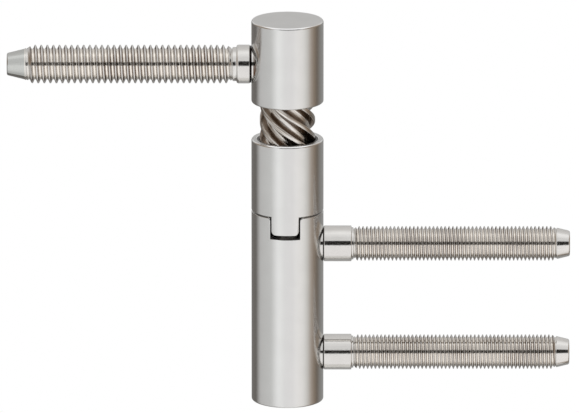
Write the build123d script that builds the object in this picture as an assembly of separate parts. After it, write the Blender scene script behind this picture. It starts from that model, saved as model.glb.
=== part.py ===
from build123d import *
import os
from math import cos, degrees, radians, sin

# Rising drill-in hinge, shown open. The hinge axis is Z, the foot of the frame
# sleeve stands at z = 0, the frame pins point to +X and the door pin to -X.
# All sizes are in millimetres, all angles in degrees.

# Barrel: knuckle, lift sleeve and frame sleeve are turned to one diameter
barrel_diameter = 15.0
knuckle_length = 17.45
lift_sleeve_length = 15.5
frame_sleeve_length = 40.8
rim_chamfer = 0.3
seam_chamfer = 0.2
foot_radius = 0.4

# Swing from the shown position down to the closed door
closed_angle = 115.0
closed_gap = 0.2

# Lift sleeve wall and the helix nut pressed in it
sleeve_wall = 1.15
rim_inner_chamfer = 0.15
nut_wall = 0.45
nut_recess = 0.15
nut_mouth = 0.5
nut_spigot = 2.3
nut_helix_length = 6.0

# Rising helix, left-handed so that the door climbs as it opens
helix_lead_length = 24.0
helix_length = 16.5
helix_starts = 6
helix_clearance = 0.15
groove_depth = 1.4
crest_share = 0.24
root_share = 0.28
crest_azimuth = 2.0

# Spindle: head pressed in the knuckle, journal and foot inside the frame sleeve
head_diameter = 9.0
head_length = 13.5
journal_diameter = 7.2
foot_diameter = 6.0
foot_chamfer = 0.6
foot_end_length = 1.6

# Snap ring in its groove on the spindle's foot
ring_thickness = 0.7
ring_depth = 0.5
ring_width = 1.2
ring_mouth = 3.6
ring_clearance = 0.05

# Guide bush, turns on the foot and slides in the frame sleeve's bore
bush_length = 8.0
bush_end_play = 0.1
slide_clearance = 0.05

# Frame sleeve bore, and the seat in its mouth that centres the nut
bore_diameter = 9.0
bore_floor = 5.5
foot_clearance = 3.5
seat_depth = 3.2
seat_clearance = 0.05

# Key between the two sleeves: tongues of the lift sleeve in a slot cut right across
slot_width = 6.2
slot_depth = 4.45
tongue_side_clearance = 0.22
tongue_end_clearance = 0.85
tongue_corner_radius = 0.9
key_turn = -4.1

# Frame pins, with a fine thread
frame_pin_top_drop = 7.15
frame_pin_foot_height = 10.2
frame_pin_shoulder_gap = 0.15
frame_pin_spigot_diameter = 6.0
frame_pin_collar_diameter = 7.45
frame_pin_collar_length = 5.9
frame_pin_neck_diameter = 6.8
frame_pin_neck_length = 0.8
frame_pin_thread_diameter = 7.2
frame_pin_thread_length = 41.2
frame_pin_point_base = 6.5
frame_pin_point_end = 5.1
frame_pin_point_length = 3.3

# Door pin, with a coarse thread and a dog that locks the spindle's head
door_pin_drop = 9.4
door_pin_shoulder_gap = 0.35
door_pin_spigot_diameter = 6.4
door_pin_collar_diameter = 8.05
door_pin_collar_length = 2.6
door_pin_neck_diameter = 7.0
door_pin_neck_length = 1.2
door_pin_thread_diameter = 8.0
door_pin_thread_length = 41.9
door_pin_point_base = 6.6
door_pin_point_end = 4.5
door_pin_point_length = 4.7
door_pin_dog_diameter = 4.5
door_pin_dog_length = 2.6

# Shared by all pins
collar_chamfer = 0.2
point_chamfer = 0.25
pin_end_gap = 0.3

# Heights along the hinge axis in the shown position
barrel_radius = barrel_diameter / 2
seam_z = frame_sleeve_length
rim_z = seam_z + lift_sleeve_length
closed_drop = helix_lead_length * closed_angle / 360
knuckle_z = rim_z + closed_gap + closed_drop
top_z = knuckle_z + knuckle_length
seat_z = seam_z - seat_depth
helix_end_z = knuckle_z - helix_length
spindle_end_z = bore_floor + foot_clearance + closed_drop
groove_z = spindle_end_z + foot_end_length
groove_top_z = groove_z + ring_thickness + 2 * ring_clearance
bush_z = groove_top_z + bush_end_play
journal_end_z = bush_z + bush_length + bush_end_play

# Radii that follow from the walls and clearances
sleeve_bore_radius = barrel_radius - sleeve_wall
helix_radius = sleeve_bore_radius - nut_wall - helix_clearance
groove_radius = foot_diameter / 2 - ring_depth


def turned(*profile):
    """Solid of revolution about Z from (radius, height) corners."""
    corners = [(radius, 0, height) for radius, height in profile]
    return revolve(make_face(Polyline(*corners, close=True)), Axis.Z)


def rod(diameter, z_low, z_high):
    """Plain cylinder about Z between two heights."""
    return Pos(0, 0, z_low) * Cylinder(
        diameter / 2, z_high - z_low, align=(Align.CENTER, Align.CENTER, Align.MIN)
    )


def along_x(solid, direction, height):
    """Lay a solid that stands on Z along +X (direction 1) or -X (direction -1)."""
    return Pos(0, 0, height) * Rot(0, 90 * direction, 0) * solid


def flank(root_radius, half_tooth, crest_radius, half_crest):
    """Ends of one flank line in the cross-section, run on past the root and the crest."""
    root = Vector(root_radius, 0).rotate(Axis.Z, half_tooth)
    crest = Vector(crest_radius, 0).rotate(Axis.Z, half_crest)
    overrun = (crest - root) * 0.25
    return root - overrun, crest + overrun


def helix_tooth(length, clearance):
    """One twisted tooth that stands on Z, grown all round by the clearance."""
    crest_radius = helix_radius + clearance
    root_radius = crest_radius - groove_depth
    pitch = 360 / helix_starts
    widening = degrees(clearance / (crest_radius - groove_depth / 2))
    half_crest = pitch * crest_share / 2 + widening
    half_tooth = pitch * (1 - root_share) / 2 + widening
    left_in, left_out = flank(root_radius, half_tooth, crest_radius, half_crest)
    right_in, right_out = flank(root_radius, -half_tooth, crest_radius, -half_crest)
    wedge = make_face(Polyline(left_in, left_out, right_out, right_in, close=True)).face()
    twist = -360 * length / helix_lead_length
    tooth = Solid.extrude_linear_with_rotation(wedge, (0, 0, 0), (0, 0, length), twist)
    return tooth & rod(2 * crest_radius, 0, length)


def helix_bar(z_low, z_high, clearance=0.0):
    """Core with its twisted teeth, in phase with every other bar made here."""
    length = z_high - z_low
    bar = rod(2 * (helix_radius + clearance - groove_depth), 0, length)
    tooth = helix_tooth(length, clearance)
    for start in range(helix_starts):
        bar += Rot(0, 0, start * 360 / helix_starts) * tooth
    azimuth = crest_azimuth + 360 * (knuckle_z - z_low) / helix_lead_length
    return Pos(0, 0, z_low) * Rot(0, 0, azimuth) * bar


def across_key(width, depth, corner_radius):
    """Block that runs right across the barrel just below the seam, square to the key."""
    outline = Rectangle(width, depth, align=(Align.CENTER, Align.MAX))
    if corner_radius > 0:
        outline = fillet(outline.vertices().group_by(Axis.Y)[0], corner_radius)
    block = extrude(Plane.XZ * outline, barrel_diameter, both=True)
    return Pos(0, 0, seam_z) * Rot(0, 0, key_turn) * block


def pin_hole(spigot_diameter, direction, height):
    """Cross-hole in the barrel wall for a pin's spigot."""
    return along_x(rod(spigot_diameter, 0, barrel_diameter), direction, height)


def pin(seat, spigot, shoulder, collar, collar_length, neck, neck_length, thread, thread_length,
        point_base, point_end, point_length):
    """Turned pin standing on Z, from the end of its spigot to the end of its point."""
    collar_end = shoulder + collar_length
    thread_start = collar_end + neck_length
    thread_end = thread_start + thread_length
    tip = thread_end + point_length
    return turned(
        (0, seat),
        (spigot / 2, seat),
        (spigot / 2, shoulder),
        (collar / 2, shoulder),
        (collar / 2, collar_end - collar_chamfer),
        (neck / 2, collar_end),
        (neck / 2, thread_start),
        (thread / 2, thread_start),
        (thread / 2, thread_end),
        (point_base / 2, thread_end),
        (point_end / 2, tip - point_chamfer),
        (point_end / 2 - point_chamfer, tip),
        (0, tip),
    )


def door_knuckle():
    """Upper barrel: blind bore for the spindle's head, cross-hole for the door pin."""
    body = rod(barrel_diameter, knuckle_z, top_z)
    body = chamfer(body.edges().filter_by(GeomType.CIRCLE), rim_chamfer)
    body -= rod(head_diameter, knuckle_z, knuckle_z + head_length)
    return body - pin_hole(door_pin_spigot_diameter, -1, top_z - door_pin_drop)


def door_pin():
    """Coarse pin; its dog passes the knuckle's wall and locks the spindle's head."""
    seat = head_diameter / 2 + pin_end_gap
    body = pin(
        seat, door_pin_spigot_diameter,
        barrel_radius + door_pin_shoulder_gap,
        door_pin_collar_diameter, door_pin_collar_length,
        door_pin_neck_diameter, door_pin_neck_length,
        door_pin_thread_diameter, door_pin_thread_length,
        door_pin_point_base, door_pin_point_end, door_pin_point_length,
    )
    body += rod(door_pin_dog_diameter, seat - door_pin_dog_length, seat)
    return along_x(body, -1, top_z - door_pin_drop)


def rising_spindle():
    """Head, six-start helix, journal and grooved foot, all one turned and milled bar."""
    shaft = turned(
        (0, spindle_end_z),
        (foot_diameter / 2 - foot_chamfer, spindle_end_z),
        (foot_diameter / 2, spindle_end_z + foot_chamfer),
        (foot_diameter / 2, groove_z),
        (groove_radius, groove_z),
        (groove_radius, groove_top_z),
        (foot_diameter / 2, groove_top_z),
        (foot_diameter / 2, journal_end_z),
        (journal_diameter / 2, journal_end_z),
        (journal_diameter / 2, helix_end_z),
        (0, helix_end_z),
    )
    head = rod(head_diameter, knuckle_z, knuckle_z + head_length)
    dog_seat = head_diameter / 2 + pin_end_gap - door_pin_dog_length
    dog_hole = along_x(rod(door_pin_dog_diameter, dog_seat, head_diameter), -1, top_z - door_pin_drop)
    return shaft + helix_bar(helix_end_z, knuckle_z) + (head - dog_hole)


def retaining_ring():
    """Open snap ring in the groove of the spindle's foot."""
    z_low = groove_z + ring_clearance
    inner = 2 * (groove_radius + ring_clearance)
    ring = rod(inner + 2 * ring_width, z_low, z_low + ring_thickness)
    ring -= rod(inner, z_low, z_low + ring_thickness)
    mouth = Box(inner, ring_mouth, ring_thickness, align=(Align.MIN, Align.CENTER, Align.MIN))
    return ring - Pos(0, 0, z_low) * mouth


def guide_bush():
    """Plain bush between the spindle's foot and the frame sleeve's bore."""
    bush = rod(bore_diameter - 2 * slide_clearance, bush_z, bush_z + bush_length)
    return bush - rod(foot_diameter + 2 * slide_clearance, bush_z, bush_z + bush_length)


def lift_sleeve():
    """Middle sleeve: a tube with a chamfered rim, and tongues left standing at its lower end."""
    tube = turned(
        (sleeve_bore_radius, seam_z),
        (barrel_radius - seam_chamfer, seam_z),
        (barrel_radius, seam_z + seam_chamfer),
        (barrel_radius, rim_z - rim_chamfer),
        (barrel_radius - rim_chamfer, rim_z),
        (sleeve_bore_radius + rim_inner_chamfer, rim_z),
        (sleeve_bore_radius, rim_z - rim_inner_chamfer),
    )
    tongue_length = slot_depth - tongue_end_clearance
    skirt = rod(barrel_diameter, seam_z - tongue_length, seam_z + seam_chamfer)
    skirt -= rod(2 * sleeve_bore_radius, seam_z - tongue_length, seam_z + seam_chamfer)
    key = across_key(slot_width - 2 * tongue_side_clearance, tongue_length, tongue_corner_radius)
    root = across_key(slot_width - 2 * tongue_side_clearance, seam_chamfer, 0)
    return tube + skirt.intersect(key + Pos(0, 0, seam_chamfer) * root)


def helix_nut():
    """Bush with the inner helix below a plain mouth; its lower end centres the lift sleeve."""
    nut_low = seam_z - nut_spigot
    nut_high = rim_z - nut_recess
    helix_high = nut_high - nut_mouth
    helix_low = helix_high - nut_helix_length
    plain_bore = 2 * (helix_radius + helix_clearance)
    bore = rod(plain_bore, nut_low, helix_low)
    bore += helix_bar(helix_low, helix_high, helix_clearance)
    bore += rod(plain_bore, helix_high, nut_high)
    return rod(2 * sleeve_bore_radius, nut_low, nut_high) - bore


def frame_sleeve():
    """Lower barrel: blind bore, seat for the nut, slot for the tongues, two cross-holes."""
    seat_radius = sleeve_bore_radius + seat_clearance
    body = turned(
        (0, 0),
        (barrel_radius - foot_radius, 0),
        (barrel_radius - 0.3 * foot_radius, 0.3 * foot_radius),
        (barrel_radius, foot_radius),
        (barrel_radius, seam_z - seam_chamfer),
        (barrel_radius - seam_chamfer, seam_z),
        (seat_radius, seam_z),
        (seat_radius, seat_z),
        (bore_diameter / 2, seat_z),
        (bore_diameter / 2, bore_floor),
        (0, bore_floor),
    )
    body -= across_key(slot_width, slot_depth, 0)
    for height in frame_pin_heights():
        body -= pin_hole(frame_pin_spigot_diameter, 1, height)
    return body


def frame_pin_heights():
    return seam_z - frame_pin_top_drop, frame_pin_foot_height


def frame_pin(height):
    """Fine pin in the frame sleeve's wall."""
    body = pin(
        bore_diameter / 2 + pin_end_gap, frame_pin_spigot_diameter,
        barrel_radius + frame_pin_shoulder_gap,
        frame_pin_collar_diameter, frame_pin_collar_length,
        frame_pin_neck_diameter, frame_pin_neck_length,
        frame_pin_thread_diameter, frame_pin_thread_length,
        frame_pin_point_base, frame_pin_point_end, frame_pin_point_length,
    )
    return along_x(body, 1, height)


upper_height, lower_height = frame_pin_heights()
pieces = {
    "door_knuckle": door_knuckle(),
    "door_pin": door_pin(),
    "rising_spindle": rising_spindle(),
    "retaining_ring": retaining_ring(),
    "guide_bush": guide_bush(),
    "lift_sleeve": lift_sleeve(),
    "helix_nut": helix_nut(),
    "frame_sleeve": frame_sleeve(),
    "frame_pin_upper": frame_pin(upper_height),
    "frame_pin_lower": frame_pin(lower_height),
}

os.makedirs("parts", exist_ok=True)
for node, solid in pieces.items():
    export_step(solid, f"parts/{node}.step")
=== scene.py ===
import math
import bmesh
import bpy
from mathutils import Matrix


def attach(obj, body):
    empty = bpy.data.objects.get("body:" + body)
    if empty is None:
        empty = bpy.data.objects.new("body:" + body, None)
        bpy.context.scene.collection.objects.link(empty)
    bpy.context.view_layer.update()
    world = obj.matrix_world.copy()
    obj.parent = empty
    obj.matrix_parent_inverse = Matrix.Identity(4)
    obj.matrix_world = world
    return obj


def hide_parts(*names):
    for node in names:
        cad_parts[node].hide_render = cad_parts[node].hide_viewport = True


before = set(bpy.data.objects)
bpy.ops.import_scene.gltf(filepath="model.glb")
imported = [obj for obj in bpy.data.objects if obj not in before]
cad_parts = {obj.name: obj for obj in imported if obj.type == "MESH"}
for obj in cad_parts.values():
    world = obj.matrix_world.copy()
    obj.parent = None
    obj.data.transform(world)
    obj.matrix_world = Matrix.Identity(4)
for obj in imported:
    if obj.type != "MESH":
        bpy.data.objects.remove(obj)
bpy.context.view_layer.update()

# Frame sleeve: the lower barrel, held on the door frame by two pins.
# Turned from free-cutting steel, bored from above, milled across its mouth for the tongues of
# the lift sleeve, cross-drilled for the pins and nickel plated.
MM = 0.001  # sizes are in mm, the frame is in metres
MERGE = 0.5e-6  # in metres, like the next
CUT_MERGE = 3e-6
NEAR = 0.01
SHARP_ANGLE = math.radians(25)
UPWARD = 0.9
BARREL_RADIUS = 7.5
CUTTER_REACH = 2 * BARREL_RADIUS
CUTTER_SPARE = 1
SLEEVE_STEPS = 280
DRILL_STEPS = 96
SEAM_HEIGHT = 40.8
SEAT_RADIUS = 6.4
SEAT_HEIGHT = 37.6
BORE_RADIUS = 4.5
BORE_FLOOR = 5.5
FOOT_ROUND = 0.4
SLOT_HALF_FACETS = 19  # the slot's walls run along edges between the barrel's facets
SLOT_HALF_WIDTH = BARREL_RADIUS * math.sin(math.radians(SLOT_HALF_FACETS * 360 / SLEEVE_STEPS))
SLOT_FLOOR = 36.35
SLOT_CORNER = 0.5
SLOT_FLARES = ((0.25, 0.08), (0.25, 0.42), (0.6, 0))  # rise, and widening at each side, from below
KEY_TURN = math.radians(-4.1)
EDGE_EASE = 0.12
FRAME_PIN_HEIGHTS = {"frame_pin_upper": 33.65, "frame_pin_lower": 10.2}
FRAME_SPIGOT_RADIUS = 3.0
FRAME_HOLE_MOUTH = 3.15
HOLE_MOUTH_FLOOR = 6.0


def draw_profile(name, corners):
    """Extrudes one vertex along (x, z) corners in mm."""
    bpy.ops.object.select_all(action="DESELECT")
    bpy.ops.mesh.primitive_plane_add(size=MM)
    piece = bpy.context.object
    piece.name = name
    bpy.ops.object.mode_set(mode="EDIT")
    bpy.ops.mesh.select_mode(type="VERT")
    bpy.ops.mesh.merge(type="CENTER")
    bpy.ops.transform.translate(value=(corners[0][0] * MM, 0, corners[0][1] * MM))
    for here, there in zip(corners, corners[1:]):
        step = ((there[0] - here[0]) * MM, 0, (there[1] - here[1]) * MM)
        bpy.ops.mesh.extrude_region_move(TRANSFORM_OT_translate={"value": step})
    bpy.ops.object.mode_set(mode="OBJECT")
    return piece


def turn(name, corners, steps):
    """Lathe work: a profile of (radius, height) corners in mm is spun about Z."""
    piece = draw_profile(name, corners)
    bpy.ops.object.mode_set(mode="EDIT")
    bpy.ops.mesh.select_all(action="SELECT")
    bpy.ops.mesh.spin(steps=steps, angle=2 * math.pi, center=(0, 0, 0), axis=(0, 0, 1))
    bpy.ops.mesh.select_all(action="SELECT")
    bpy.ops.mesh.remove_doubles(threshold=MERGE)
    bpy.ops.mesh.normals_make_consistent(inside=False)
    bpy.ops.object.mode_set(mode="OBJECT")
    return piece


def edit(piece):
    """Opens one piece in edit mode with nothing selected."""
    bpy.ops.object.select_all(action="DESELECT")
    bpy.context.view_layer.objects.active = piece
    piece.select_set(True)
    bpy.ops.object.mode_set(mode="EDIT")
    bpy.ops.mesh.select_mode(type="EDGE")
    bpy.ops.mesh.select_all(action="DESELECT")


def ease_edges(piece, chosen, width, segments):
    """Bevels the sharp edges whose two ends both pass the test chosen(x, y, z), in mm."""
    edit(piece)
    work = bmesh.from_edit_mesh(piece.data)
    for edge in work.edges:
        sharp = edge.is_manifold and edge.calc_face_angle() > SHARP_ANGLE
        if sharp and all(chosen(*(end.co / MM)) for end in edge.verts):
            edge.select_set(True)
    bmesh.update_edit_mesh(piece.data)
    bpy.ops.mesh.bevel(offset=width * MM, segments=segments, affect="EDGES", clamp_overlap=False)
    bpy.ops.object.mode_set(mode="OBJECT")


def on_wall(x, y):
    """Says whether a place in mm lies on the outer wall of a barrel."""
    return math.hypot(x, y) > BARREL_RADIUS - NEAR


def block(low, high):
    """Box between two corners in mm."""
    middle = [(a + b) / 2 * MM for a, b in zip(low, high)]
    bpy.ops.object.select_all(action="DESELECT")
    bpy.ops.mesh.primitive_cube_add(size=1, location=middle)
    bpy.context.object.scale = [(b - a) * MM for a, b in zip(low, high)]
    bpy.ops.object.transform_apply()
    return bpy.context.object


def drill(radius, start, end, height):
    """Cylinder along X between two places in mm, as a drill takes it out of a barrel."""
    bpy.ops.object.select_all(action="DESELECT")
    bpy.ops.mesh.primitive_cylinder_add(
        vertices=DRILL_STEPS, radius=radius * MM, depth=abs(end - start) * MM,
        location=((start + end) / 2 * MM, 0, height * MM), rotation=(0, math.pi / 2, 0),
    )
    bpy.ops.object.transform_apply()
    return bpy.context.object


def cut(piece, tool, operation="DIFFERENCE"):
    """Takes the tool's volume off the piece, or joins it on, and removes the tool."""
    change = piece.modifiers.new("cut", "BOOLEAN")
    change.operation = operation
    change.solver = "EXACT"
    change.object = tool
    bpy.ops.object.select_all(action="DESELECT")
    bpy.context.view_layer.objects.active = piece
    piece.select_set(True)
    bpy.ops.object.modifier_apply(modifier=change.name)
    bpy.data.objects.remove(tool)
    edit(piece)
    bpy.ops.mesh.select_all(action="SELECT")
    bpy.ops.mesh.remove_doubles(threshold=CUT_MERGE)
    bpy.ops.mesh.dissolve_degenerate(threshold=CUT_MERGE)
    bpy.ops.object.mode_set(mode="OBJECT")


def place(piece, turned=0, along_z=0):
    """Turns a piece about Z, lifts it by so many mm and leaves that in its mesh."""
    bpy.ops.object.select_all(action="DESELECT")
    bpy.context.view_layer.objects.active = piece
    piece.select_set(True)
    piece.rotation_euler.z = turned
    piece.location.z = along_z * MM
    bpy.ops.object.transform_apply()


def finish_piece(piece, node, body, material, smooth=35):
    """Cleans a piece, shades it smooth below so many degrees and sets it in the frame."""
    edit(piece)
    bpy.ops.mesh.select_all(action="SELECT")
    bpy.ops.mesh.remove_doubles(threshold=MERGE)
    bpy.ops.mesh.normals_make_consistent(inside=False)
    bpy.ops.object.mode_set(mode="OBJECT")
    bpy.ops.object.shade_smooth_by_angle(angle=math.radians(smooth))
    even = piece.modifiers.new("even", "WEIGHTED_NORMAL")
    even.keep_sharp = True
    even.weight = 100  # the largest faces decide
    bpy.ops.object.modifier_apply(modifier=even.name)
    piece.data.name = piece.name
    piece.data.materials.clear()
    piece.data.materials.append(material)
    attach(piece, body)
    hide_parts(node)


def linear(code):
    """Linear colour of an sRGB hex code."""
    parts = [int(code[i:i + 2], 16) / 255 for i in (1, 3, 5)]
    return [c / 12.92 if c <= 0.04045 else ((c + 0.055) / 1.055) ** 2.4 for c in parts] + [1]


def start_finish(name, metallic):
    """Starts a material and gives it back with its node tree and its shader."""
    finish = bpy.data.materials.new(name)
    finish.use_nodes = True
    shader = finish.node_tree.nodes["Principled BSDF"]
    shader.inputs["Metallic"].default_value = metallic
    return finish, finish.node_tree, shader


def add(tree, kind, inputs=None, **settings):
    """Adds a node with its settings; an input is a value or the socket it is linked from."""
    node = tree.nodes.new(kind)
    for name, value in settings.items():
        setattr(node, name, value)
    for name, value in (inputs or {}).items():
        if isinstance(value, bpy.types.NodeSocket):
            tree.links.new(value, node.inputs[name])
        else:
            node.inputs[name].default_value = value
    return node


# Satin nickel plate on turned steel: a bright neutral metal whose fine grain blurs reflections
# a little, with faint clouds in the plate and hair-fine turning marks round the barrel. The end
# faces are duller, since they are faced and not ground, and the chamfers that face upwards get a
# painted highlight: their colour is made white.
barrel_plate, tree, shader = start_finish("satin_nickel_plate", metallic=1)
CLOUD_SIZE = 5
GRAIN_SIZE = 0.3
CHAMFER_RISE = (0.45, 0.6)  # how far a face looks up, as the z of its normal
FACED_RISE = (0.95, 0.99)
FACED_ROUGHNESS = 0.42
TURNING_STEP = 0.45  # real marks are under 0.1 mm apart; drawn coarser so that they show
TURNING_LENGTH = 25
space = add(tree, "ShaderNodeTexCoord").outputs["Object"]
clouds = add(tree, "ShaderNodeTexNoise", {"Vector": space, "Scale": 1 / (CLOUD_SIZE * MM), "Detail": 3})
grain = add(tree, "ShaderNodeTexNoise", {"Vector": space, "Scale": 1 / (GRAIN_SIZE * MM), "Detail": 2})
tint = add(
    tree, "ShaderNodeMix",
    {0: clouds.outputs["Fac"], 6: linear("#DBDBDA"), 7: linear("#E6E6E5")}, data_type="RGBA",
)
facing = add(tree, "ShaderNodeSeparateXYZ", {0: add(tree, "ShaderNodeTexCoord").outputs["Normal"]})
# Painted highlight: faces that look up at a slant, the upper chamfers and rounds, are coloured white
sloped = add(
    tree, "ShaderNodeMapRange",
    {"Value": facing.outputs["Z"], "From Min": CHAMFER_RISE[0], "From Max": CHAMFER_RISE[1]},
)
painted_chamfer_highlight = add(
    tree, "ShaderNodeMix",
    {0: sloped.outputs[0], 6: tint.outputs[2], 7: linear("#FFFFFF")}, data_type="RGBA",
)
faced = add(
    tree, "ShaderNodeMapRange",
    {"Value": facing.outputs["Z"], "From Min": FACED_RISE[0], "From Max": FACED_RISE[1]},
)
colour = add(
    tree, "ShaderNodeMix",
    {0: faced.outputs[0], 6: painted_chamfer_highlight.outputs[2], 7: tint.outputs[2]}, data_type="RGBA",
)
tree.links.new(colour.outputs[2], shader.inputs["Base Color"])
gloss = add(
    tree, "ShaderNodeMapRange",
    {"Value": grain.outputs["Fac"], "From Min": 0.3, "From Max": 0.7, "To Min": 0.14, "To Max": 0.22},
)
dulled = add(
    tree, "ShaderNodeMix",
    {0: faced.outputs[0], 2: gloss.outputs[0], 3: FACED_ROUGHNESS}, data_type="FLOAT",
)
tree.links.new(dulled.outputs[0], shader.inputs["Roughness"])
turning = [1 / (size * MM) for size in (TURNING_LENGTH, TURNING_LENGTH, TURNING_STEP)]
squeeze = add(tree, "ShaderNodeMapping", {"Vector": space, "Scale": turning})
marks = add(tree, "ShaderNodeTexNoise", {"Vector": squeeze.outputs[0], "Scale": 1, "Detail": 3})
relief = add(
    tree, "ShaderNodeMath", {0: marks.outputs["Fac"], 1: grain.outputs["Fac"]}, operation="ADD",
)
bump = add(
    tree, "ShaderNodeBump", {"Height": relief.outputs[0], "Strength": 0.05, "Distance": 0.02 * MM},
)
tree.links.new(bump.outputs[0], shader.inputs["Normal"])

frame_sleeve = turn("frame_sleeve_turned", [
    (0, 0),
    (BARREL_RADIUS, 0),
    (BARREL_RADIUS, SEAM_HEIGHT),
    (SEAT_RADIUS, SEAM_HEIGHT),
    (SEAT_RADIUS, SEAT_HEIGHT),
    (BORE_RADIUS, SEAT_HEIGHT),
    (BORE_RADIUS, BORE_FLOOR),
    (0, BORE_FLOOR),
], SLEEVE_STEPS)
ease_edges(frame_sleeve, lambda x, y, z: z < NEAR, FOOT_ROUND, segments=6)
slot_cutter = block(
    (-SLOT_HALF_WIDTH, -CUTTER_REACH, SLOT_FLOOR),
    (SLOT_HALF_WIDTH, CUTTER_REACH, SEAM_HEIGHT - SLOT_CORNER),
)
edit(slot_cutter)
bpy.ops.mesh.select_mode(type="FACE")
work = bmesh.from_edit_mesh(slot_cutter.data)
for face in work.faces:
    face.select_set(face.normal.z > UPWARD)
bmesh.update_edit_mesh(slot_cutter.data)
half = SLOT_HALF_WIDTH
for rise, flare in SLOT_FLARES:
    bpy.ops.mesh.extrude_region_move(TRANSFORM_OT_translate={"value": (0, 0, rise * MM)})
    bpy.ops.transform.resize(value=((half + flare) / half, 1, 1), center_override=(0, 0, 0))
    half += flare
bpy.ops.object.mode_set(mode="OBJECT")
cut(frame_sleeve, slot_cutter)
ease_edges(
    frame_sleeve, lambda x, y, z: z > SLOT_FLOOR - NEAR and on_wall(x, y), EDGE_EASE, segments=2,
)
place(frame_sleeve, turned=KEY_TURN)
for height in FRAME_PIN_HEIGHTS.values():
    cut(frame_sleeve, drill(FRAME_SPIGOT_RADIUS, 0, CUTTER_REACH, height))
    cut(frame_sleeve, drill(FRAME_HOLE_MOUTH, HOLE_MOUTH_FLOOR, CUTTER_REACH, height))
finish_piece(frame_sleeve, "frame_sleeve", "frame", barrel_plate)

# Frame pins: two fine-threaded pins pressed into the frame sleeve's wall.
# Turned from steel with a plain collar and a flat point, the thread rolled on, then bright
# nickel plated. Both are the same piece.
FINE_PITCH = 0.815
FINE_CREST = 3.6
FINE_ROOT = 3.0
FINE_START = 13.77
FINE_END = 56.05
FRAME_COLLAR_RADIUS = 3.725
FRAME_RELIEF_RADIUS = 3.36
FRAME_SHANK_RADIUS = 3.1
SHANK_END = 6.05
SPIGOT_END = 4.8
LOWER_PIN_TURN = math.radians(110)  # the two pins aren't pressed in at the same turn
THREAD_STEPS = 48
THREAD_SMOOTH = 45
# One pitch of the thread: place along it and height over the root, both as shares
THREAD_FORM = (
    (0.00, 0.00), (0.11, 0.00), (0.15, 0.05), (0.18, 0.16), (0.27, 0.50), (0.36, 0.84), (0.39, 0.95),
    (0.43, 1.00), (0.57, 1.00), (0.61, 0.95), (0.64, 0.84), (0.73, 0.50), (0.82, 0.16), (0.85, 0.05),
    (0.89, 0.00), (1.00, 0.00),
)
FLANK_SHADE_SPREAD = 2.2  # over 1, so that the painted shade covers a flank and not its middle alone
BORDER_TOLERANCE = 0.0002
BISECT_TOLERANCE = 1e-8  # in metres
# Values of the attribute that carries painted light and the ground point: plain plate is 0, a flank in
# painted brown shade is 1, the painted highlight of a groove floor and the ground point are below 0, and
# a painted black shadow is over 2
GROUND = -1
PAINTED_ROOT_HIGHLIGHT = -0.4
PAINTED_BROWN_SHADE = 1.2
PAINTED_BLACK_SHADOW = 3


def draw_out(pin, border, radius, steps):
    """Extrudes the round border at x = border along (x, radius) steps in mm and caps the end."""
    edit(pin)
    bpy.ops.mesh.select_mode(type="VERT")
    work = bmesh.from_edit_mesh(pin.data)
    for vertex in work.verts:
        vertex.select_set(abs(vertex.co.x / MM - border) < BORDER_TOLERANCE)
    work.select_flush(True)
    bmesh.update_edit_mesh(pin.data)
    for x, wanted in steps:
        bpy.ops.mesh.extrude_region_move(TRANSFORM_OT_translate={"value": ((x - border) * MM, 0, 0)})
        ratio = wanted / radius
        bpy.ops.transform.resize(value=(1, ratio, ratio), center_override=(0, 0, 0))
        border, radius = x, wanted
    bpy.ops.mesh.edge_face_add()
    bpy.ops.object.mode_set(mode="OBJECT")


def threaded_pin(name, root, crest, pitch, start, end, shade_and_grinding_bands, to_barrel, to_point):
    """Rolls a right-handed thread along +X, draws the plain ends out and marks where light and shade are
    painted and where the point is ground.

    The ends are lists of (x, radius) in mm, and a band is (from x, to x, value), for painted shade and
    for the ground point.
    """

    def formed(x):
        """Share of the thread's height at x, as it runs out over one pitch at each end."""
        return max(0, min(1, min(x - start, end - x) / pitch))

    pin = draw_profile(name, [
        (start + (along - 1) * pitch, root + height * (crest - root)) for along, height in THREAD_FORM
    ])
    rolled = pin.modifiers.new("thread", "SCREW")
    rolled.axis = "X"
    rolled.screw_offset = pitch * MM
    rolled.iterations = math.ceil((end - start) / pitch) + 2
    rolled.steps = rolled.render_steps = THREAD_STEPS
    bpy.ops.object.modifier_apply(modifier=rolled.name)
    edit(pin)
    bpy.ops.mesh.select_all(action="SELECT")
    bpy.ops.mesh.remove_doubles(threshold=MERGE)
    for place_x, side in ((start, 1), (end, -1)):
        bpy.ops.mesh.select_all(action="SELECT")
        bpy.ops.mesh.bisect(
            plane_co=(place_x * MM, 0, 0), plane_no=(side, 0, 0), clear_inner=True,
            threshold=BISECT_TOLERANCE,
        )
    bpy.ops.object.mode_set(mode="OBJECT")
    for vertex in pin.data.vertices:
        limit = (root + (crest - root) * formed(vertex.co.x / MM)) * MM
        shrink = min(1, limit / math.hypot(vertex.co.y, vertex.co.z))
        vertex.co.y *= shrink
        vertex.co.z *= shrink
    draw_out(pin, start, root, to_barrel)
    draw_out(pin, end, root, to_point)
    painted_light_and_grinding = pin.data.attributes.new("painted_light_and_grinding", "FLOAT", "POINT")
    for vertex, mark in zip(pin.data.vertices, painted_light_and_grinding.data):
        x = vertex.co.x / MM
        if start < x < end:
            radius = math.hypot(vertex.co.y, vertex.co.z) / MM
            height = (radius - root) / (crest - root)
            # Painted shade: the flanks are marked for a brown colour, which fades in where the thread
            # runs out
            flank = min(1, FLANK_SHADE_SPREAD * (1 - abs(2 * height - 1)))
            # Painted highlight: the groove floors take values below 0
            root_highlight = PAINTED_ROOT_HIGHLIGHT * (1 - height)
            mark.value = formed(x) * (root_highlight + (1 - root_highlight) * flank)
        for low, high, amount in shade_and_grinding_bands:
            if low < x < high:
                mark.value = amount
    return pin
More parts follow.
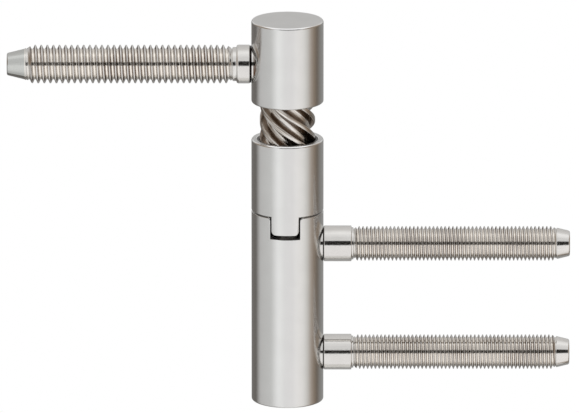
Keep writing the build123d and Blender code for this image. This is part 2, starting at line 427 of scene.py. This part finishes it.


# Bright nickel plate on a rolled thread: glossier than the barrels and a little warmer. The groove
# floors get a painted highlight, the flanks a patchy painted brown shade, the undercut beside the
# collar a painted black shadow, the door pin's shank in the hole's mouth a painted brown shade,
# and the door pin's point is ground dull.
pin_plate, tree, shader = start_finish("bright_nickel_plate", metallic=1)
MOTTLE_SIZE = 2.5
SPECK_SIZE = 0.25
PATCH_SIZE = 6
space = add(tree, "ShaderNodeTexCoord").outputs["Object"]
mottle = add(
    tree, "ShaderNodeTexNoise", {"Vector": space, "Scale": 1 / (MOTTLE_SIZE * MM), "Detail": 3},
)
specks = add(
    tree, "ShaderNodeTexNoise", {"Vector": space, "Scale": 1 / (SPECK_SIZE * MM), "Detail": 2},
)
tint = add(
    tree, "ShaderNodeMix",
    {0: mottle.outputs["Fac"], 6: linear("#DFDDDA"), 7: linear("#ECEAE7")}, data_type="RGBA",
)
light_and_grinding_attribute = add(tree, "ShaderNodeAttribute", attribute_name="painted_light_and_grinding")
# Painted highlight: below 0, on the groove floors, the colour is mixed towards near white
root_highlight_share = add(
    tree, "ShaderNodeMapRange", {"Value": light_and_grinding_attribute.outputs["Fac"], "From Min": 0, "From Max": PAINTED_ROOT_HIGHLIGHT},
)
rolled = add(
    tree, "ShaderNodeMix",
    {0: root_highlight_share.outputs[0], 6: tint.outputs[2], 7: linear("#FFF9F0")}, data_type="RGBA",
)
# Painted shade: the flanks are coloured brown, in patches
flank_shade_share = add(
    tree, "ShaderNodeMapRange",
    {"Value": light_and_grinding_attribute.outputs["Fac"], "From Min": 0.2, "From Max": 1}, interpolation_type="SMOOTHSTEP",
)
patches = add(
    tree, "ShaderNodeTexNoise", {"Vector": space, "Scale": 1 / (PATCH_SIZE * MM), "Detail": 2},
)
thinned = add(
    tree, "ShaderNodeMapRange",
    {"Value": patches.outputs["Fac"], "From Min": 0.35, "From Max": 0.65, "To Min": 0.35, "To Max": 1},
)
patchy_flank_shade = add(tree, "ShaderNodeMath", {0: flank_shade_share.outputs[0], 1: thinned.outputs[0]}, operation="MULTIPLY")
ground = add(
    tree, "ShaderNodeMapRange",
    {"Value": light_and_grinding_attribute.outputs["Fac"], "From Min": PAINTED_ROOT_HIGHLIGHT, "From Max": GROUND},
)
dull = add(
    tree, "ShaderNodeMix",
    {0: ground.outputs[0], 6: rolled.outputs[2], 7: linear("#CBCCC9")}, data_type="RGBA",
)
painted_brown_flanks = add(
    tree, "ShaderNodeMix",
    {0: patchy_flank_shade.outputs[0], 6: dull.outputs[2], 7: linear("#674C38")}, data_type="RGBA",
)
# Painted shadow: the undercuts beside the collars are coloured near black
black_shadow_share = add(tree, "ShaderNodeMapRange", {"Value": light_and_grinding_attribute.outputs["Fac"], "From Min": 1, "From Max": 2})
with_painted_black_shadow = add(
    tree, "ShaderNodeMix",
    {0: black_shadow_share.outputs[0], 6: painted_brown_flanks.outputs[2], 7: linear("#1A1613")}, data_type="RGBA",
)
tree.links.new(with_painted_black_shadow.outputs[2], shader.inputs["Base Color"])
gloss = add(
    tree, "ShaderNodeMapRange",
    {"Value": specks.outputs["Fac"], "From Min": 0.3, "From Max": 0.7, "To Min": 0.1, "To Max": 0.2},
)
tree.links.new(gloss.outputs[0], shader.inputs["Roughness"])
bump = add(
    tree, "ShaderNodeBump",
    {"Height": specks.outputs["Fac"], "Strength": 0.05, "Distance": 0.02 * MM},
)
tree.links.new(bump.outputs[0], shader.inputs["Normal"])

frame_pin = threaded_pin(
    "frame_pin_upper_threaded", FINE_ROOT, FINE_CREST, FINE_PITCH, FINE_START, FINE_END,
    # Painted black shadow in the undercut beside the collar
    shade_and_grinding_bands=((7.365, 7.505, PAINTED_BLACK_SHADOW), (7.525, 7.585, PAINTED_BLACK_SHADOW)),
    to_barrel=[
        # Relief beside the thread
        (13.74, 3.3), (13.7, FRAME_RELIEF_RADIUS), (13.4, FRAME_RELIEF_RADIUS), (13.36, 3.4),
        # Collar with rounded edges
        (13.34, 3.62), (13.26, 3.7), (13.12, FRAME_COLLAR_RADIUS), (7.75, FRAME_COLLAR_RADIUS),
        (7.65, 3.7), (7.6, 3.63), (7.58, 3.58),
        # Undercut against the barrel, painted black as a shadow
        (7.53, 3.54), (7.515, 3.5), (7.515, 3.16), (7.5, 3.12), (7.37, 3.12),
        # Shank in the mouth of the hole, and spigot
        (7.36, FRAME_SHANK_RADIUS), (SHANK_END, FRAME_SHANK_RADIUS),
        (SHANK_END, FRAME_SPIGOT_RADIUS), (SPIGOT_END, FRAME_SPIGOT_RADIUS),
    ],
    to_point=[
        # Cone with a rounded tip
        (56.12, 3.2), (56.25, 3.24), (58.52, 2.7), (58.7, 2.63), (58.81, 2.51), (58.85, 2.38),
    ],
)
lower_pin = frame_pin.copy()
lower_pin.data = frame_pin.data.copy()
lower_pin.name = "frame_pin_lower_threaded"
bpy.context.collection.objects.link(lower_pin)
lower_pin.rotation_euler.x = LOWER_PIN_TURN
for pin, node in ((frame_pin, "frame_pin_upper"), (lower_pin, "frame_pin_lower")):
    place(pin, along_z=FRAME_PIN_HEIGHTS[node])
    finish_piece(pin, node, "frame", pin_plate, smooth=THREAD_SMOOTH)

# Lift sleeve: the middle barrel, keyed to the frame sleeve by two tongues.
# Turned tube of the same plated steel; the tongues are what milling leaves of its lower end.
BARREL_STEPS = 256
SLEEVE_BORE = 6.35
MID_WALL = (SLEEVE_BORE + BARREL_RADIUS) / 2
RIM_HEIGHT = 56.3
RIM_CHAMFER = 0.22
RIM_EASE = 0.18
RIM_INNER_EASE = 0.15
TONGUE_FOOT = 37.2
TUBE_FOOT = TONGUE_FOOT - 0.5  # before milling
TONGUE_HALF_FACETS = 16
TONGUE_HALF_WIDTH = BARREL_RADIUS * math.sin(math.radians(TONGUE_HALF_FACETS * 360 / BARREL_STEPS))
TONGUE_CORNER = 0.9
SEAM_GAP = 0.32
SEAM_LAND = 6.45

lift_sleeve = turn("lift_sleeve_turned", [
    (SLEEVE_BORE, TUBE_FOOT),
    (BARREL_RADIUS, TUBE_FOOT),
    (BARREL_RADIUS, RIM_HEIGHT),
    (SLEEVE_BORE, RIM_HEIGHT),
    (SLEEVE_BORE, TUBE_FOOT),
], BARREL_STEPS)
ease_edges(
    lift_sleeve, lambda x, y, z: z > RIM_HEIGHT - NEAR and on_wall(x, y), RIM_CHAMFER, segments=1,
)
ease_edges(
    lift_sleeve, lambda x, y, z: z > RIM_HEIGHT - 2 * RIM_CHAMFER and on_wall(x, y), RIM_EASE, segments=5,
)
ease_edges(
    lift_sleeve, lambda x, y, z: z > RIM_HEIGHT - NEAR and math.hypot(x, y) < MID_WALL,
    RIM_INNER_EASE, segments=3,
)
tongue_form = block(
    (-TONGUE_HALF_WIDTH, -1.5 * CUTTER_REACH, TONGUE_FOOT),
    (TONGUE_HALF_WIDTH, 1.5 * CUTTER_REACH, SEAM_HEIGHT + CUTTER_SPARE),
)
edit(tongue_form)
work = bmesh.from_edit_mesh(tongue_form.data)
for edge in work.edges:
    low = all(end.co.z / MM < TONGUE_FOOT + NEAR for end in edge.verts)
    edge.select_set(low and abs(edge.verts[0].co.x - edge.verts[1].co.x) < MERGE)
bmesh.update_edit_mesh(tongue_form.data)
bpy.ops.mesh.bevel(offset=TONGUE_CORNER * MM, segments=8, affect="EDGES")
bpy.ops.object.mode_set(mode="OBJECT")
skirt_cutter = turn("skirt_cutter", [
    (0, TONGUE_FOOT - 2 * CUTTER_SPARE),
    (CUTTER_REACH, TONGUE_FOOT - 2 * CUTTER_SPARE),
    (CUTTER_REACH, SEAM_HEIGHT + SEAM_GAP),
    (SEAM_LAND, SEAM_HEIGHT + SEAM_GAP),
    (SEAM_LAND, SEAM_HEIGHT),
    (0, SEAM_HEIGHT),
], BARREL_STEPS)
cut(skirt_cutter, tongue_form)
cut(lift_sleeve, skirt_cutter)
ease_edges(
    lift_sleeve, lambda x, y, z: z < SEAM_HEIGHT + SEAM_GAP + NEAR and on_wall(x, y),
    EDGE_EASE, segments=2,
)
place(lift_sleeve, turned=KEY_TURN)
finish_piece(lift_sleeve, "lift_sleeve", "frame", barrel_plate)

# Helix nut: the bush with the inner helix, pressed in the lift sleeve.
# Sintered steel, oiled, a little porous and dull; its grey is darkened to a painted shade, as it sits in
# shade inside the sleeve and under the tongues.
nut_steel, tree, shader = start_finish("sintered_steel", metallic=1)
PORE_SIZE = 0.25
space = add(tree, "ShaderNodeTexCoord").outputs["Object"]
pores = add(tree, "ShaderNodeTexNoise", {"Vector": space, "Scale": 1 / (PORE_SIZE * MM), "Detail": 4})
# Painted shade: the nut's grey is made dark
tint = add(
    tree, "ShaderNodeMix",
    {0: pores.outputs["Fac"], 6: linear("#34312E"), 7: linear("#5E5A55")}, data_type="RGBA",
)
tree.links.new(tint.outputs[2], shader.inputs["Base Color"])
shader.inputs["Roughness"].default_value = 0.36
bump = add(
    tree, "ShaderNodeBump", {"Height": pores.outputs["Fac"], "Strength": 0.3, "Distance": 0.05 * MM},
)
tree.links.new(bump.outputs[0], shader.inputs["Normal"])
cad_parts["helix_nut"].material_slots[0].material = nut_steel

# Rising spindle: the six-start helix that lifts the door as it turns in the nut.
# Turned and milled from one steel bar, bright plated and lightly greased; its head is pressed
# in the knuckle and its foot carries the guide bush.
KNUCKLE_FOOT = 64.1667
HELIX_LENGTH = 16.5
HELIX_LEAD = 24.0
HELIX_STARTS = 6
HELIX_CREST = 5.75
HELIX_ROOT = 4.35
HELIX_AZIMUTH = math.radians(2.0)
HELIX_STEPS = 96
SECTION_POINTS = 192
# Radius of the cross-section at so many points away from the middle of a land
SECTION_RADII = {
    4: 5.69, 5: 5.53, 6: 5.35, 7: 5.17, 8: 4.99, 9: 4.81, 10: 4.63, 11: 4.47, 12: 4.38,
    13: HELIX_ROOT, 14: HELIX_ROOT, 15: HELIX_ROOT, 16: HELIX_ROOT,
}
HEAD_TOP = 77.6667
JOURNAL_RADIUS = 3.6
JOURNAL_FOOT = 27.2667
FOOT_RADIUS = 3.0
FOOT_END = 16.6667
FOOT_CHAMFER = 0.6
RING_GROOVE_RADIUS = 2.5
RING_GROOVE_FLOOR = 18.2667
RING_GROOVE_TOP = 19.0667
SHAFT_STEPS = 96
DOOR_PIN_HEIGHT = 72.2167
DOG_RADIUS = 2.25
DOG_END = 2.2

# Bright nickel plate, milled and greased: the lands and the groove floors shine, the flanks get a
# patchy painted brown shade, and tool marks run along the helix.
spindle_plate, tree, shader = start_finish("greased_plate_with_painted_shade", metallic=1)
GREASE_AND_SHADE_SIZE = 1.6
TOOL_MARK_SIZE = 0.4
TOOL_MARK_LENGTH = 3
SHADE_NOISE_WEIGHT = 0.6
space = add(tree, "ShaderNodeTexCoord").outputs["Object"]
grease_and_shade_noise = add(
    tree, "ShaderNodeTexNoise", {"Vector": space, "Scale": 1 / (GREASE_AND_SHADE_SIZE * MM), "Detail": 4},
)
parts = add(tree, "ShaderNodeSeparateXYZ", {0: space})
angle = add(tree, "ShaderNodeMath", {0: parts.outputs["Y"], 1: parts.outputs["X"]}, operation="ARCTAN2")
phase = add(
    tree, "ShaderNodeMath",
    {0: parts.outputs["Z"], 1: 2 * math.pi / (HELIX_LEAD * MM), 2: angle.outputs[0]},
    operation="MULTIPLY_ADD",
)
across = add(tree, "ShaderNodeMath", {0: phase.outputs[0]}, operation="COSINE")
along = add(tree, "ShaderNodeMath", {0: phase.outputs[0]}, operation="SINE")
drawn = add(
    tree, "ShaderNodeMath",
    {0: parts.outputs["Z"], 1: TOOL_MARK_SIZE / (HELIX_CREST * TOOL_MARK_LENGTH * MM)},
    operation="MULTIPLY",
)
helical = add(
    tree, "ShaderNodeCombineXYZ", {0: across.outputs[0], 1: along.outputs[0], 2: drawn.outputs[0]},
)
marks = add(
    tree, "ShaderNodeTexNoise",
    {"Vector": helical.outputs[0], "Scale": HELIX_CREST / TOOL_MARK_SIZE, "Detail": 3},
)
streaks = add(
    tree, "ShaderNodeMapRange", {"Value": marks.outputs["Fac"], "From Min": 0.35, "From Max": 0.65},
)
tint = add(
    tree, "ShaderNodeMix",
    {0: streaks.outputs[0], 6: linear("#A2978B"), 7: linear("#FFFDFA")}, data_type="RGBA",
)
light_and_grinding_attribute = add(tree, "ShaderNodeAttribute", attribute_name="painted_light_and_grinding")
# Painted shade: the flanks are coloured brown, made patchy by noise
flank_shade_noise = add(tree, "ShaderNodeMath", {0: grease_and_shade_noise.outputs["Fac"], 1: streaks.outputs[0]}, operation="ADD")
uneven_flank_shade = add(
    tree, "ShaderNodeMath",
    {0: flank_shade_noise.outputs[0], 1: SHADE_NOISE_WEIGHT, 2: light_and_grinding_attribute.outputs["Fac"]}, operation="MULTIPLY_ADD",
)
flank_shade_share = add(
    tree, "ShaderNodeMapRange",
    {"Value": uneven_flank_shade.outputs[0], "From Min": 0.7, "From Max": 1.2}, interpolation_type="SMOOTHSTEP",
)
painted_brown_flanks = add(
    tree, "ShaderNodeMix",
    {0: flank_shade_share.outputs[0], 6: tint.outputs[2], 7: linear("#7C6C5E")}, data_type="RGBA",
)
tree.links.new(painted_brown_flanks.outputs[2], shader.inputs["Base Color"])
gloss = add(
    tree, "ShaderNodeMapRange",
    {"Value": grease_and_shade_noise.outputs["Fac"], "From Min": 0.3, "From Max": 0.7, "To Min": 0.26, "To Max": 0.14},
)
tree.links.new(gloss.outputs[0], shader.inputs["Roughness"])
bump = add(
    tree, "ShaderNodeBump", {"Height": marks.outputs["Fac"], "Strength": 0.3, "Distance": 0.05 * MM},
)
tree.links.new(bump.outputs[0], shader.inputs["Normal"])

bpy.ops.object.select_all(action="DESELECT")
bpy.ops.mesh.primitive_circle_add(vertices=SECTION_POINTS, radius=HELIX_CREST * MM)
spindle = bpy.context.object
spindle.name = "rising_spindle_milled"
points_per_start = SECTION_POINTS // HELIX_STARTS
for offset, radius in SECTION_RADII.items():
    edit(spindle)
    bpy.ops.mesh.select_mode(type="VERT")
    work = bmesh.from_edit_mesh(spindle.data)
    for vertex in work.verts:
        turned = round(math.atan2(vertex.co.y, vertex.co.x) / (2 * math.pi) * SECTION_POINTS)
        away = turned % points_per_start
        vertex.select_set(min(away, points_per_start - away) == offset)
    bmesh.update_edit_mesh(spindle.data)
    ratio = radius / HELIX_CREST
    bpy.ops.transform.resize(value=(ratio, ratio, 1), center_override=(0, 0, 0))
    bpy.ops.object.mode_set(mode="OBJECT")
place(spindle, turned=HELIX_AZIMUTH, along_z=KNUCKLE_FOOT)
milled = spindle.modifiers.new("helix", "SCREW")
milled.angle = math.radians(360 * HELIX_LENGTH / HELIX_LEAD)
milled.screw_offset = -HELIX_LENGTH * MM
milled.steps = milled.render_steps = HELIX_STEPS
bpy.ops.object.modifier_apply(modifier=milled.name)
edit(spindle)
bpy.ops.mesh.select_non_manifold()
bpy.ops.mesh.fill_holes(sides=0)
bpy.ops.mesh.select_all(action="SELECT")
bpy.ops.mesh.normals_make_consistent(inside=False)
bpy.ops.object.mode_set(mode="OBJECT")
shaft = turn("shaft", [
    (0, FOOT_END),
    (FOOT_RADIUS - FOOT_CHAMFER, FOOT_END),
    (FOOT_RADIUS, FOOT_END + FOOT_CHAMFER),
    (FOOT_RADIUS, RING_GROOVE_FLOOR),
    (RING_GROOVE_RADIUS, RING_GROOVE_FLOOR),
    (RING_GROOVE_RADIUS, RING_GROOVE_TOP),
    (FOOT_RADIUS, RING_GROOVE_TOP),
    (FOOT_RADIUS, JOURNAL_FOOT),
    (JOURNAL_RADIUS, JOURNAL_FOOT),
    (JOURNAL_RADIUS, KNUCKLE_FOOT),
    (BORE_RADIUS, KNUCKLE_FOOT),
    (BORE_RADIUS, HEAD_TOP),
    (0, HEAD_TOP),
], SHAFT_STEPS)
cut(spindle, shaft, "UNION")
cut(spindle, drill(DOG_RADIUS, -DOG_END, -CUTTER_REACH, DOOR_PIN_HEIGHT))
# Painted shade: the helix flanks are marked for brown, most in their middle
painted_light_and_grinding = spindle.data.attributes.new("painted_light_and_grinding", "FLOAT", "POINT")
for vertex, mark in zip(spindle.data.vertices, painted_light_and_grinding.data):
    if KNUCKLE_FOOT - HELIX_LENGTH < vertex.co.z / MM < KNUCKLE_FOOT:
        radius = math.hypot(vertex.co.x, vertex.co.y) / MM
        mark.value = 1 - abs(2 * (HELIX_CREST - radius) / (HELIX_CREST - HELIX_ROOT) - 1)
finish_piece(spindle, "rising_spindle", "door", spindle_plate)

# Guide bush and snap ring: hidden on the spindle's foot inside the frame sleeve.
# The bush is turned from natural acetal, the ring is stamped from phosphated spring steel.
acetal, tree, shader = start_finish("natural_acetal", metallic=0)
shader.inputs["IOR"].default_value = 1.48
shader.inputs["Roughness"].default_value = 0.38
WAX_SIZE = 1.5
space = add(tree, "ShaderNodeTexCoord").outputs["Object"]
wax = add(tree, "ShaderNodeTexNoise", {"Vector": space, "Scale": 1 / (WAX_SIZE * MM), "Detail": 3})
tint = add(
    tree, "ShaderNodeMix",
    {0: wax.outputs["Fac"], 6: linear("#E4E1D8"), 7: linear("#F0EEE8")}, data_type="RGBA",
)
tree.links.new(tint.outputs[2], shader.inputs["Base Color"])
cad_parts["guide_bush"].material_slots[0].material = acetal

spring_steel, tree, shader = start_finish("phosphated_spring_steel", metallic=1)
shader.inputs["Roughness"].default_value = 0.5
CRYSTAL_SIZE = 0.12
space = add(tree, "ShaderNodeTexCoord").outputs["Object"]
crystals = add(
    tree, "ShaderNodeTexNoise", {"Vector": space, "Scale": 1 / (CRYSTAL_SIZE * MM), "Detail": 3},
)
tint = add(
    tree, "ShaderNodeMix",
    {0: crystals.outputs["Fac"], 6: linear("#2C2A28"), 7: linear("#55524E")}, data_type="RGBA",
)
tree.links.new(tint.outputs[2], shader.inputs["Base Color"])
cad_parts["retaining_ring"].material_slots[0].material = spring_steel

# Door knuckle: the upper barrel, carried by the door leaf through its pin.
# Turned solid from the same plated steel, with a blind bore for the spindle's head and a
# cross-hole for the pin.
KNUCKLE_TOP = 81.6167
DOOR_SPIGOT_RADIUS = 3.2
DOOR_HOLE_MOUTH = 3.46
knuckle = turn("door_knuckle_turned", [
    (0, HEAD_TOP),
    (BORE_RADIUS, HEAD_TOP),
    (BORE_RADIUS, KNUCKLE_FOOT),
    (BARREL_RADIUS, KNUCKLE_FOOT),
    (BARREL_RADIUS, KNUCKLE_TOP),
    (0, KNUCKLE_TOP),
], BARREL_STEPS)
ease_edges(
    knuckle, lambda x, y, z: z > KNUCKLE_TOP - NEAR and on_wall(x, y), RIM_CHAMFER, segments=1,
)
ease_edges(
    knuckle, lambda x, y, z: z > KNUCKLE_TOP - 2 * RIM_CHAMFER and on_wall(x, y), RIM_EASE, segments=5,
)
ease_edges(
    knuckle, lambda x, y, z: z < KNUCKLE_FOOT + NEAR and on_wall(x, y), FOOT_ROUND, segments=6,
)
cut(knuckle, drill(DOOR_SPIGOT_RADIUS, 0, -CUTTER_REACH, DOOR_PIN_HEIGHT))
cut(knuckle, drill(DOOR_HOLE_MOUTH, -HOLE_MOUTH_FLOOR, -CUTTER_REACH, DOOR_PIN_HEIGHT))
finish_piece(knuckle, "door_knuckle", "door", barrel_plate)

# Door pin: the coarse-threaded pin that screws into the edge of the door leaf.
# Made like the frame pins, with a short collar, a long point, and a dog on its inner end that
# locks the spindle's head.
COARSE_PITCH = 1.258
COARSE_CREST = 4.0
COARSE_ROOT = 3.2
COARSE_START = 11.42
COARSE_END = 54.2
DOOR_COLLAR_RADIUS = 4.025
DOOR_RELIEF_RADIUS = 3.53
DOOR_SHANK_RADIUS = 3.4
door_pin = threaded_pin(
    "door_pin_threaded", COARSE_ROOT, COARSE_CREST, COARSE_PITCH, COARSE_START, COARSE_END,
    # Painted black shadow in the undercut, painted brown shade on the dog, spigot and shank up to the
    # hole's mouth, and the ground point
    shade_and_grinding_bands=((7.43, 7.515, PAINTED_BLACK_SHADOW), (7.54, 7.845, PAINTED_BLACK_SHADOW), (0, 7.07, PAINTED_BROWN_SHADE), (54.5, 59, GROUND)),
    to_barrel=[
        # Relief beside the thread
        (11.38, 3.46), (11.32, DOOR_RELIEF_RADIUS), (10.66, DOOR_RELIEF_RADIUS), (10.58, 3.57),
        # Collar with rounded edges
        (10.54, 3.78), (10.46, 3.9), (10.32, 3.98), (10.15, 4.02), (9.95, DOOR_COLLAR_RADIUS),
        (8.0, DOOR_COLLAR_RADIUS), (7.9, 4.0), (7.85, 3.93), (7.84, 3.88),
        # Undercut against the barrel, painted black as a shadow
        (7.55, 3.86), (7.53, 3.83), (7.53, 3.48), (7.51, 3.44), (7.44, 3.44),
        # Shank in the mouth of the hole, with the point where its painted brown shade begins
        (7.42, DOOR_SHANK_RADIUS), (7.12, DOOR_SHANK_RADIUS), (7.06, DOOR_SHANK_RADIUS),
        (SHANK_END, DOOR_SHANK_RADIUS),
        # Spigot and dog
        (SHANK_END, DOOR_SPIGOT_RADIUS), (SPIGOT_END, DOOR_SPIGOT_RADIUS),
        (SPIGOT_END, DOG_RADIUS), (DOG_END, DOG_RADIUS),
    ],
    to_point=[
        # Short land, then a cone with a rounded tip
        (54.28, 3.3), (54.45, 3.28),
        (54.6, 3.18), (57.95, 2.36), (58.13, 2.28), (58.22, 2.16), (58.25, 2.02),
    ],
)
place(door_pin, turned=math.pi, along_z=DOOR_PIN_HEIGHT)
finish_piece(door_pin, "door_pin", "door", pin_plate, smooth=THREAD_SMOOTH)

# Studio: a pale floor far below the hinge, which hangs in a light tent.
# The tent is white in front and overhead, grey behind and darkest at the back on the left, with
# brown walls at both sides and the dark camera opening just above the horizon in front.
FLOOR_RADIUS = 0.25  # in metres, like all sizes of the studio
FLOOR_HEIGHT = -0.9
FLOOR_STEPS = 96
bpy.ops.object.select_all(action="DESELECT")
bpy.ops.mesh.primitive_circle_add(
    vertices=FLOOR_STEPS, radius=FLOOR_RADIUS, fill_type="NGON", location=(0, 0, FLOOR_HEIGHT),
)
floor = bpy.context.object
floor.name = "studio_floor"
paper, tree, shader = start_finish("pale_paper", metallic=0)
shader.inputs["Base Color"].default_value = linear("#F4F4F2")
shader.inputs["Roughness"].default_value = 0.9
floor.data.materials.append(paper)

# Tones below the horizon, by degrees to the right of the camera, and tones of the arch that runs
# from the horizon in front over the hinge to the horizon behind, by degrees along it
LOW_TENT = (
    (-180, "#B0AFAE"), (-166, "#7E7B78"), (-120, "#706C68"), (-98, "#CBCAC9"), (-54, "#D6D6D5"),
    (-31, "#FFFFFF"), (-20, "#FDFDFC"), (-8, "#F5F4F4"), (16, "#F5F3F3"), (28, "#FDFBFA"),
    (42, "#FBF8F6"), (54, "#F2F0ED"), (67, "#DAD7D3"), (82, "#AFA398"), (96, "#8F8173"),
    (110, "#746A61"), (128, "#8E8C89"), (180, "#A8A8A7"),
)
ARCH = (
    (-180, "#A3A3A2"), (0, "#FFFFFF"), (30, "#E4E4E4"), (50, "#E2E2E2"), (68, "#EDEDED"),
    (80, "#FFFFFF"), (95, "#FCFCFC"), (111, "#DCDBDA"), (135, "#D3D2D1"), (160, "#CDCCCB"),
    (170, "#CDCCCB"), (180, "#A3A3A2"),
)
ARCH_FOOT = (math.radians(-7), math.radians(3))  # the low tent gives way to the arch between these
SIDE_WALL = "#988A7C"
SIDE_WALL_EDGE = (0.62, 0.85)  # how far a direction points aside, as the x of its unit length
world = bpy.data.worlds.new("light_tent")
bpy.context.scene.world = world
world.use_nodes = True
tree = world.node_tree
background = tree.nodes["Background"]
direction = add(tree, "ShaderNodeTexCoord").outputs["Generated"]
parts = add(tree, "ShaderNodeSeparateXYZ", {0: direction})
front = add(tree, "ShaderNodeMath", {0: parts.outputs["Y"], 1: -1}, operation="MULTIPLY")
azimuth = add(tree, "ShaderNodeMath", {0: parts.outputs["X"], 1: front.outputs[0]}, operation="ARCTAN2")
over = add(tree, "ShaderNodeMath", {0: parts.outputs["Z"], 1: front.outputs[0]}, operation="ARCTAN2")
elevation = add(tree, "ShaderNodeMath", {0: parts.outputs["Z"]}, operation="ARCSINE")
tents = []
for angle, tones in ((azimuth, LOW_TENT), (over, ARCH)):
    share = add(
        tree, "ShaderNodeMapRange",
        {"Value": angle.outputs[0], "From Min": -math.pi, "From Max": math.pi},
    )
    tent = add(tree, "ShaderNodeValToRGB", {"Fac": share.outputs[0]})
    elements = tent.color_ramp.elements
    while len(elements) < len(tones):
        elements.new(0.5)
    for element, (degrees, code) in zip(elements, tones):
        element.position = degrees / 360 + 0.5
        element.color = linear(code)
    tents.append(tent.outputs["Color"])
aside = add(tree, "ShaderNodeMath", {0: parts.outputs["X"]}, operation="ABSOLUTE")
walled = add(
    tree, "ShaderNodeMapRange",
    {"Value": aside.outputs[0], "From Min": SIDE_WALL_EDGE[0], "From Max": SIDE_WALL_EDGE[1]},
)
arch = add(
    tree, "ShaderNodeMix", {0: walled.outputs[0], 6: tents[1], 7: linear(SIDE_WALL)}, data_type="RGBA",
)
lifted = add(
    tree, "ShaderNodeMapRange",
    {"Value": elevation.outputs[0], "From Min": ARCH_FOOT[0], "From Max": ARCH_FOOT[1]},
)
tent_wall = add(
    tree, "ShaderNodeMix", {0: lifted.outputs[0], 6: tents[0], 7: arch.outputs[2]}, data_type="RGBA",
)

# Camera opening: its middle, and where its edge begins and ends on both sides of that, in degrees
# to the right of the camera and in degrees up
OPENING_ACROSS = (8, 30, 38)
OPENING_UP = (15, 11, 14)
ROOM = "#1C1A18"
shares = []
for angle, limits in ((azimuth, OPENING_ACROSS), (elevation, OPENING_UP)):
    middle, inner, outer = (math.radians(degrees) for degrees in limits)
    away = add(tree, "ShaderNodeMath", {0: angle.outputs[0], 1: middle}, operation="SUBTRACT")
    off = add(tree, "ShaderNodeMath", {0: away.outputs[0]}, operation="ABSOLUTE")
    share = add(
        tree, "ShaderNodeMapRange",
        {"Value": off.outputs[0], "From Min": inner, "From Max": outer, "To Min": 1, "To Max": 0},
    )
    shares.append(share.outputs[0])
opening = add(tree, "ShaderNodeMath", {0: shares[0], 1: shares[1]}, operation="MULTIPLY")
seen = add(
    tree, "ShaderNodeMix",
    {0: opening.outputs[0], 6: tent_wall.outputs[2], 7: linear(ROOM)}, data_type="RGBA",
)
ray = add(tree, "ShaderNodeLightPath")
shown = add(
    tree, "ShaderNodeMix", {0: ray.outputs["Is Camera Ray"], 6: seen.outputs[2], 7: (1, 1, 1, 1)},
    data_type="RGBA",
)
tree.links.new(shown.outputs[2], background.inputs["Color"])

# Lamp: a soft box above on the left, for the floor and matt pieces; reflections don't show it
LAMP_PLACE = (-0.3, -0.3, 0.9)
LAMP_TURN = (math.radians(25), math.radians(-18), 0)
LAMP_SIZE = 0.5
LAMP_POWER = 4
bpy.ops.object.light_add(type="AREA", location=LAMP_PLACE)
lamp = bpy.context.object
lamp.data.size = LAMP_SIZE
lamp.data.energy = LAMP_POWER
lamp.rotation_euler = LAMP_TURN
lamp.visible_glossy = False

# Camera: a long lens 15 degrees above the pins, square to them
CAMERA_DISTANCE = 2.4
CAMERA_RISE = math.radians(15)
VIEW_WIDTH = 0.1206
AIM = (0.00042, 0, 0.0416)
SENSOR = 36
FAR_CLIP = 20
bpy.ops.object.camera_add(
    location=(
        AIM[0],
        AIM[1] - CAMERA_DISTANCE * math.cos(CAMERA_RISE),
        AIM[2] + CAMERA_DISTANCE * math.sin(CAMERA_RISE),
    ),
    rotation=(math.pi / 2 - CAMERA_RISE, 0, 0),
)
camera = bpy.context.object
camera.data.sensor_width = SENSOR
camera.data.lens = SENSOR * CAMERA_DISTANCE / VIEW_WIDTH
camera.data.clip_end = FAR_CLIP
bpy.context.scene.camera = camera
bpy.context.scene.view_settings.view_transform = "Standard"
